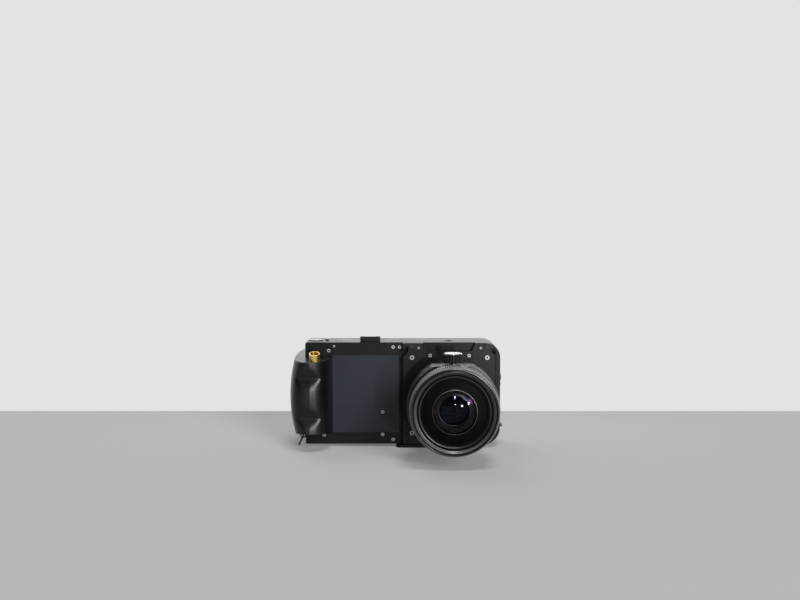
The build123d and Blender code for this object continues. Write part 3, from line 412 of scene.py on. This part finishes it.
# a smooth run of points through the given ones
def smoothRun(points, steps=9):
    padded = [points[0]] + points + [points[-1]]
    run = []
    for four in zip(padded, padded[1:], padded[2:], padded[3:]):
        for step in range(steps):
            t = step / steps
            run.append(tuple(0.5 * (2 * b + (c - a) * t + (2 * a - 5 * b + 4 * c - d) * t ** 2
                                    + (3 * b - a - 3 * c + d) * t ** 3) for a, b, c, d in zip(*four)))
    return run + [points[-1]]


# the lesser of two lengths, rounded over where they meet
def lesser(first, second, blend):
    return (first + second - math.sqrt((first - second) ** 2 + blend ** 2)) / 2


# the plan of the grip at one height: how far it stands out of the face at each x
def gripOutline(height):
    share = (height - grip["bottom"]) / (grip["top"] - grip["bottom"])
    right = grip["right"]
    reach = grip["reach"]
    side = grip["side"] + grip["taper"] * (2 * share - 1) ** 2
    nose = [(right, 0), (right - 2, reach * 0.38), (right - 5, reach * 0.67), (right - 9, reach * 0.83),
            (right - 13, reach * 0.915), (right - 18, reach * 0.97), (right - 23, reach),
            (side + 11, reach * 0.965), (side + 3.5, reach * 0.72),
            (side, reach * 0.25), (side + 1, -grip["back"] * 0.9),
            ((side + grip["bodySide"]) / 2 - 1, -grip["backCorner"]), (grip["bodySide"], -grip["deepest"])]
    limit = 60.0  # far outside, until a groove lowers it
    for middle in grip["grooves"]:
        away = math.hypot(height - middle, grip["grooveRound"]) * grip["grooveSlope"]
        limit = lesser(limit, reach - grip["grooveDepth"] + away, blend=1.0)
    outline = [(x, lesser(out, limit, grip["blend"]) if out > 5 else out) for x, out in smoothRun(nose)]
    corners = [(grip["bodySide"], 0.0), (right, 0.0)]
    return [(x, grip["face"] - out) for x, out in outline + corners]


def gripPiece(name, replaced):
    low = grip["bottom"] - grip["spare"]
    high = grip["top"] + grip["spare"]
    heights = [low + (high - low) * row / grip["rows"] for row in range(grip["rows"] + 1)]
    rows = [gripOutline(height) for height in heights]
    deselectAll()
    bpy.ops.mesh.primitive_grid_add(x_subdivisions=len(rows[0]) - 1, y_subdivisions=grip["rows"], size=1)
    piece = bpy.context.object
    for number, vertex in enumerate(piece.data.vertices):
        row, column = divmod(number, len(rows[0]))
        x, y = rows[row][column]
        vertex.co = (x * mm, y * mm, heights[row] * mm)
    bpy.ops.object.mode_set(mode="EDIT")
    bpy.ops.mesh.select_all(action="SELECT")
    bpy.ops.mesh.remove_doubles(threshold=10 * hair)
    # the sloped top and bottom are cut flat
    up = math.radians(grip["topSlope"])
    down = math.radians(grip["bottomSlope"])
    bpy.ops.mesh.bisect(plane_co=(0, 0, grip["top"] * mm), plane_no=(0, -math.sin(up), math.cos(up)),
                        use_fill=True, clear_outer=True)
    bpy.ops.mesh.select_all(action="SELECT")
    bpy.ops.mesh.bisect(plane_co=(0, grip["face"] * mm, grip["bottom"] * mm),
                        plane_no=(0, math.sin(down), math.cos(down)), use_fill=True, clear_inner=True)
    bpy.ops.mesh.select_all(action="SELECT")
    bpy.ops.mesh.normals_make_consistent(inside=False)
    bpy.ops.object.mode_set(mode="OBJECT")
    edge = piece.modifiers.new("edge", "BEVEL")
    edge.width = grip["edge"] * mm
    edge.segments = grip["edgeSteps"]
    edge.angle_limit = math.radians(grip["edgeAngle"])
    bpy.ops.object.modifier_apply(modifier=edge.name)
    # the bore for the release collar, deep enough for the pressed button
    boreZ = grip["top"] + grip["boreY"] * math.tan(up)
    bpy.ops.mesh.primitive_cylinder_add(vertices=48, radius=grip["boreRadius"] * mm,
                                        depth=grip["boreDepth"] * 2 * mm,
                                        location=(grip["boreX"] * mm, grip["boreY"] * mm, boreZ * mm),
                                        rotation=(math.radians(grip["boreLean"]), 0, 0))
    cutter = bpy.context.object
    activate(piece)
    bore = piece.modifiers.new("bore", "BOOLEAN")
    bore.object = cutter
    bore.operation = "DIFFERENCE"
    bpy.ops.object.modifier_apply(modifier=bore.name)
    bpy.data.objects.remove(cutter)
    finishPiece(piece, name, replaced, mouldedNylon, smoothAngle=40)
    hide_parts(replaced)


gripPiece("grip_moulded", "grip")
print("grip moulded")

cellFront = -127.55  # where the lens cell's front lies along Y, in mm

# the real knurl has about 190 teeth, too fine to show from here, so 128 are cut
focusRing = {"teeth": 128, "root": 43.5, "toothHeight": 0.87, "bore": 38.1, "margin": 1.4, "length": 15.8,
             "frontY": cellFront + 0.3}
# painted highlight: the teeth and rims get the light grey knurl finish
knurledRing("focus_ring_finished", focusRing, knurlPaintedHighlight, "focus_ring")


# a run of outline points in which every second one is pushed out to a tooth
def zigzag(count, start, step, tooth):
    return [(start[0] + step[0] * turn + tooth[0] * (turn % 2),
             start[1] + step[1] * turn + tooth[1] * (turn % 2)) for turn in range(count)]


# the front ring: rolled rim, a groove, the ridged funnel, filter thread and a bright inner lip; the groove
# and the thread's recess are painted black as shade
frontRing = {
    "frontY": cellFront - 3.0, "steps": 160, "matt": ((40.48, 41.18), (35.15, 37.2)),
    "outline": [(43.05, 2.9), (43.05, 1.6), (42.9, 1.0), (42.55, 0.5), (42.0, 0.15), (41.5, 0.0),
                (41.3, 0.1), (41.2, 0.5), (41.15, 1.6), (40.5, 1.6), (40.45, 0.9), (40.3, 0.5),
                (40.0, 0.2), (39.8, 0.1)]
               + zigzag(8, (39.55, 0.12), (-0.28, 0.17), (0, 0.14)) + [(37.3, 1.5)]
               + zigzag(5, (37.0, 1.6), (0, 0.2), (0.25, 0))
               + [(36.9, 2.7), (35.2, 2.7), (35.1, 2.1), (34.9, 1.96), (34.7, 1.98), (33.9, 2.5),
                  (33.8, 2.65), (33.8, 2.9)],
}
turnedPiece("front_ring_finished", frontRing, barrelAnodised, "front_ring")

# the retaining ring carries a black baffle that lies over the front glass
retainingRing = {
    "frontY": cellFront, "steps": 128, "matt": ((22.1, 34.0),),
    "outline": [(33.7, 0.5), (33.7, 2.4), (31.6, 2.65), (21.6, 0.8), (21.45, 0.5), (21.6, 0.32),
                (21.9, 0.35), (22.1, 0.55), (26.9, 1.15), (27.0, 1.35), (27.4, 1.4), (27.5, 1.25),
                (31.3, 2.0), (31.5, 0.5)],
}
turnedPiece("retaining_ring_finished", retainingRing, barrelAnodised, "retaining_ring")

# the inner mount: a black cup, and a bright bevelled lip round the inner glass
innerMount = {
    "frontY": cellFront, "steps": 128, "matt": ((18.8, 34.0),),
    "outline": [(33.7, 15.4), (33.7, 6.5), (31.8, 6.5), (31.7, 12.0), (19.4, 12.0), (19.2, 10.5),
                (18.7, 10.25), (15.2, 9.35), (14.95, 9.4), (14.85, 9.6), (14.85, 10.0), (21.6, 12.6),
                (21.6, 15.4)],
}
turnedPiece("inner_mount_finished", innerMount, lacqueredBlack, "inner_mount")

# the inner glass: a steep dome, then its ground edge and the hollow back
innerElement = {"frontY": cellFront, "steps": 128, "matt": (), "domeRadius": 60, "domeTop": 8.2,
                "edgeAndBack": [(21.4, 12.3), (21.4, 15.1), (12, 14.2), (1, 13.2)]}
innerElement["outline"] = [
    (radius, innerElement["domeTop"] + innerElement["domeRadius"]
     - math.sqrt(innerElement["domeRadius"] ** 2 - radius ** 2)) for radius in range(1, 21)
] + innerElement["edgeAndBack"]
turnedPiece("inner_element_finished", innerElement, innerGlass, "inner_element")
print("rings turned")

# pieces that keep the CAD node's own shape
plainNodes = {
    blackenedAndPaintedShade: ["film_gate", "pressure_plate", "rear_mount", "helicoid_barrel"],
    groundSteel: ["tripod_bush_quarter", "tripod_bush_three_eighths", "hinge_pin", "film_roller_left",
                  "film_roller_right", "drive_fork", "spool_pins", "film_motor", "shift_screw"],
    mouldedNylon: ["take_up_spool"],
    laminate: ["circuit_board"],
    shrinkSleeve: ["battery_pack"],
    oxideSteel: ["iris_blade_%d" % (number + 1) for number in range(6)],
}
for material, names in plainNodes.items():
    for name in names:
        node = frame["nodes"][name]
        node.data.materials.clear()
        node.data.materials.append(material)
print("carried-over pieces dressed")

# the studio: a painted floor that ends behind the camera body, and pale paper all round
studio = {
    "floorSize": 6.0, "farEdge": 0.18, "floorColour": "#b0b0b0", "floorPaint": "#a8a8a8", "floorOwn": 0.35,
    "paperColour": "#e1e4e3", "paperLight": 0.3, "airColour": "#dcdedd", "airLight": 0.04,
    "cameraPlace": (-53.1, -980.0, 221.0), "tilt": 3.70, "focal": 40.2, "sensor": 36,
}
# large softboxes far away: the place each shines from, its spread in degrees and its strength
softboxes = {
    "keySoftbox": ((0.456, -0.822, 0.342), 24, 3.3),
    "topSoftbox": ((0.25, -0.6, 2.0), 20, 1.8),
    "rimSoftbox": ((-0.6, 0.9, 1.6), 30, 0.7),
    "sideSoftbox": ((1.6, -0.75, 0.6), 30, 0.25),
}
# small lamps: place, what they point at, width and height in metres, watts, colour
frontGlassPlace = (0, -0.13, 0.057)
lamps = {
    "glintRight": ((0.39, -1.317, 0.022), frontGlassPlace, (0.07, 0.07), 4.0, "#ffffff"),
    "glintHalo": ((0.42, -1.41, 0.03), frontGlassPlace, (0.2, 0.2), 1.6, "#e6a8e0"),
    "glintFront": ((0.09, -1.35, 0.108), frontGlassPlace, (0.06, 0.06), 2.0, "#ffffff"),
    "backStrip": ((-0.05, 0.165, 0.16), (-0.05, -0.03, 0.113), (0.7, 0.08), 0.15, "#ffffff"),
}


# the floor: lit paint, mixed with an even colour of its own where the camera, a mirror or glass sees it
def floorFinish(name):
    material, tree = newMaterial(name)
    path = addNode(tree, "ShaderNodeLightPath")
    seen = addNode(tree, "ShaderNodeMath", {"operation": "MAXIMUM"},
                   {0: path.outputs["Is Camera Ray"], 1: path.outputs["Is Glossy Ray"]})
    seenAll = addNode(tree, "ShaderNodeMath", {"operation": "MAXIMUM"},
                      {0: seen.outputs[0], 1: path.outputs["Is Transmission Ray"]})
    share = addNode(tree, "ShaderNodeMath", {"operation": "MULTIPLY", 1: studio["floorOwn"]},
                    {0: seenAll.outputs[0]})
    glow = addNode(tree, "ShaderNodeEmission", {"Color": linear(studio["floorColour"]), "Strength": 1.0})
    matt = addNode(tree, "ShaderNodeBsdfDiffuse", {"Color": linear(studio["floorPaint"])})
    mixed = addNode(tree, "ShaderNodeMixShader", {}, {0: share.outputs[0], 1: matt.outputs["BSDF"],
                                                      2: glow.outputs["Emission"]})
    addNode(tree, "ShaderNodeOutputMaterial", {}, {"Surface": mixed.outputs["Shader"]})
    return material


deselectAll()
bpy.ops.mesh.primitive_plane_add(size=studio["floorSize"],
                                 location=(0, studio["farEdge"] - studio["floorSize"] / 2, 0))
floor = bpy.context.object
floor.name = "floor"
floor.data.materials.append(floorFinish("painted_floor"))


def addLight(name, light, place, target):
    lamp = bpy.data.objects.new(name, light)
    lamp.location = place
    lamp.rotation_euler = (Vector(target) - Vector(place)).to_track_quat("-Z", "Y").to_euler()
    bpy.context.scene.collection.objects.link(lamp)


for name, (place, spread, power) in softboxes.items():
    light = bpy.data.lights.new(name, "SUN")
    light.angle = math.radians(spread)
    light.energy = power
    addLight(name, light, place, (0, 0, 0))
for name, (place, target, size, power, colour) in lamps.items():
    light = bpy.data.lights.new(name, "AREA")
    light.shape = "ELLIPSE"
    light.size = size[0]
    light.size_y = size[1]
    light.energy = power
    light.color = linear(colour)[:3]
    addLight(name, light, place, target)

world = bpy.data.worlds.new("studioAir")
bpy.context.scene.world = world
world.use_nodes = True
world.node_tree.nodes.clear()
sky = world.node_tree
path = addNode(sky, "ShaderNodeLightPath")
heading = addNode(sky, "ShaderNodeSeparateXYZ", {},
                  {"Vector": addNode(sky, "ShaderNodeTexCoord").outputs["Generated"]})
# the camera sees paper everywhere, mirrors and glass only behind the body, where it lights the air too
behind = addNode(sky, "ShaderNodeMath", {"operation": "GREATER_THAN", 1: 0.0}, {0: heading.outputs["Y"]})
mirrored = addNode(sky, "ShaderNodeMath", {"operation": "MAXIMUM"},
                   {0: path.outputs["Is Glossy Ray"], 1: path.outputs["Is Transmission Ray"]})
mirroredPaper = addNode(sky, "ShaderNodeMath", {"operation": "MULTIPLY"},
                        {0: mirrored.outputs[0], 1: behind.outputs[0]})
paperSeen = addNode(sky, "ShaderNodeMath", {"operation": "MAXIMUM"},
                    {0: path.outputs["Is Camera Ray"], 1: mirroredPaper.outputs[0]})
airPower = addNode(sky, "ShaderNodeMath", {"operation": "MULTIPLY_ADD", 1: studio["paperLight"],
                                           2: studio["airLight"]}, {0: behind.outputs[0]})
air = addNode(sky, "ShaderNodeBackground", {"Color": linear(studio["airColour"])},
              {"Strength": airPower.outputs[0]})
paper = addNode(sky, "ShaderNodeBackground", {"Color": linear(studio["paperColour"]), "Strength": 1.0})
mixedSky = addNode(sky, "ShaderNodeMixShader", {}, {0: paperSeen.outputs[0], 1: air.outputs["Background"],
                                                    2: paper.outputs["Background"]})
addNode(sky, "ShaderNodeOutputWorld", {}, {"Surface": mixedSky.outputs["Shader"]})

# the camera looks from where the photo was taken
cameraData = bpy.data.cameras.new("camera")
cameraData.lens = studio["focal"]
cameraData.sensor_width = studio["sensor"]
camera = bpy.data.objects.new("camera", cameraData)
bpy.context.scene.collection.objects.link(camera)
camera.location = [place * mm for place in studio["cameraPlace"]]
camera.rotation_euler = (math.radians(90 - studio["tilt"]), 0, 0)
bpy.context.scene.camera = camera
bpy.context.scene.view_settings.view_transform = "Standard"
print("studio set")
